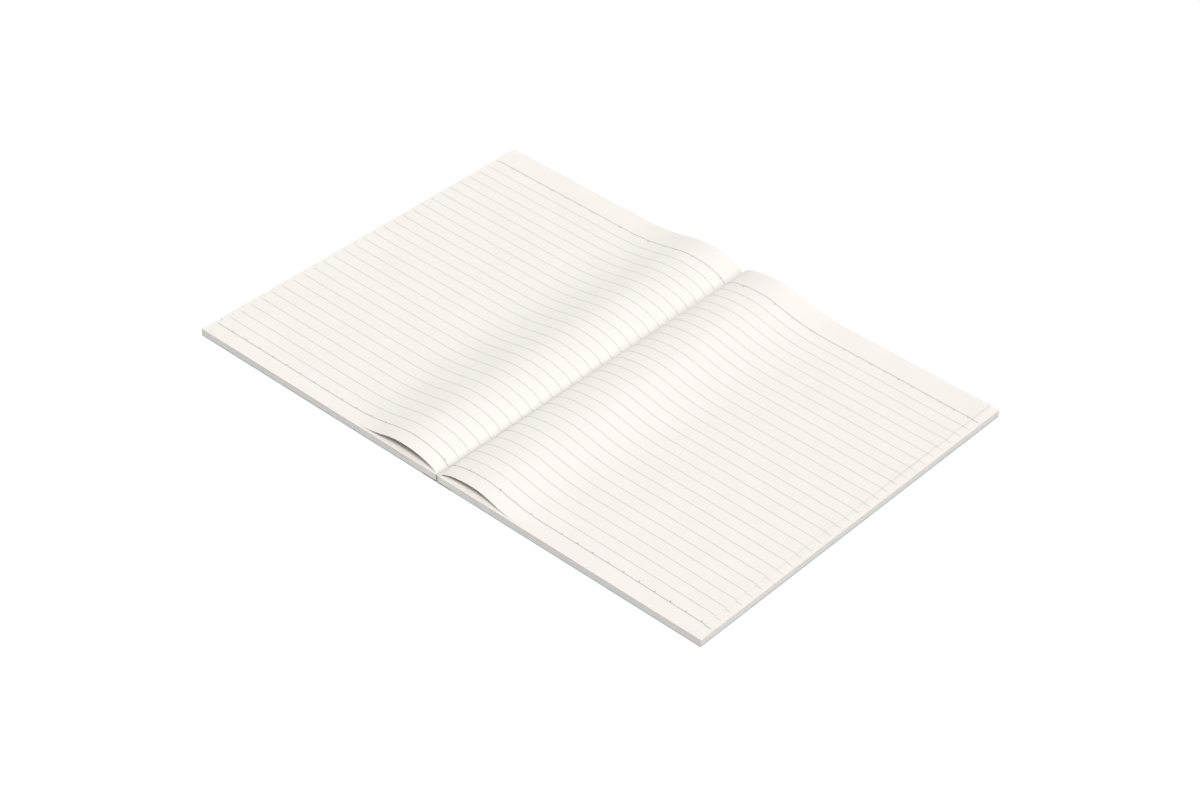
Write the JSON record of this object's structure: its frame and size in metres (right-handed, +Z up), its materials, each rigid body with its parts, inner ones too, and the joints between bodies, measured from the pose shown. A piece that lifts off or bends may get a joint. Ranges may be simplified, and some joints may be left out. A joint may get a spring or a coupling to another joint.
{
  "type": "open composition notebook",
  "caption": "Ruled notebook with card covers and a cloth-taped glued spine, lying open flat at the middle with one leaf bowed up on each side of the gutter.",
  "frame": {"origin": "on the surface that the covers lie on, in the gutter, midway between the head and the foot of the pages", "axes": "+X from the gutter across the back half to its fore edge, +Y to the head of the pages, +Z up out of the open pages"},
  "size_m": [0.352, 0.25, 0.0115],
  "materials": {
    "cover_card": "matt pale teal card with a fine fibre grain",
    "page_paper": "uncoated warm white writing paper with grey rules",
    "spine_glue": "translucent off-white binding glue",
    "spine_tape": "dark brown-grey woven cloth tape"
  },
  "bodies": {
    "back_pages": {"back_pages": "page_paper", "back_raised_leaf": "page_paper", "back_spine_glue": "spine_glue", "back_tape_leg": "spine_tape"},
    "front_pages": {"front_pages": "page_paper", "front_raised_leaf": "page_paper", "front_spine_glue": "spine_glue", "front_tape_leg": "spine_tape"},
    "front_cover": {"front_cover": "cover_card", "front_tape_wing": "spine_tape"},
    "back_cover": {"back_cover": "cover_card", "back_tape_wing": "spine_tape"}
  },
  "joints": [
    {"name": "gutter_fold", "type": "hinge", "parent": "back_pages", "child": "front_pages", "pos_m": [0, 0, 0.00466], "axis": [0, 1, 0], "range_deg": [0, 180], "deforming": ["front_raised_leaf", "back_raised_leaf"]},
    {"name": "front_cover_hinge", "type": "hinge", "parent": "front_pages", "child": "front_cover", "pos_m": [-0.00035, 0, -0.00005], "axis": [0, -1, 0], "range_deg": [0, 180]},
    {"name": "back_cover_hinge", "type": "hinge", "parent": "back_pages", "child": "back_cover", "pos_m": [0.00035, 0, -0.00005], "axis": [0, 1, 0], "range_deg": [0, 180]}
  ]
}
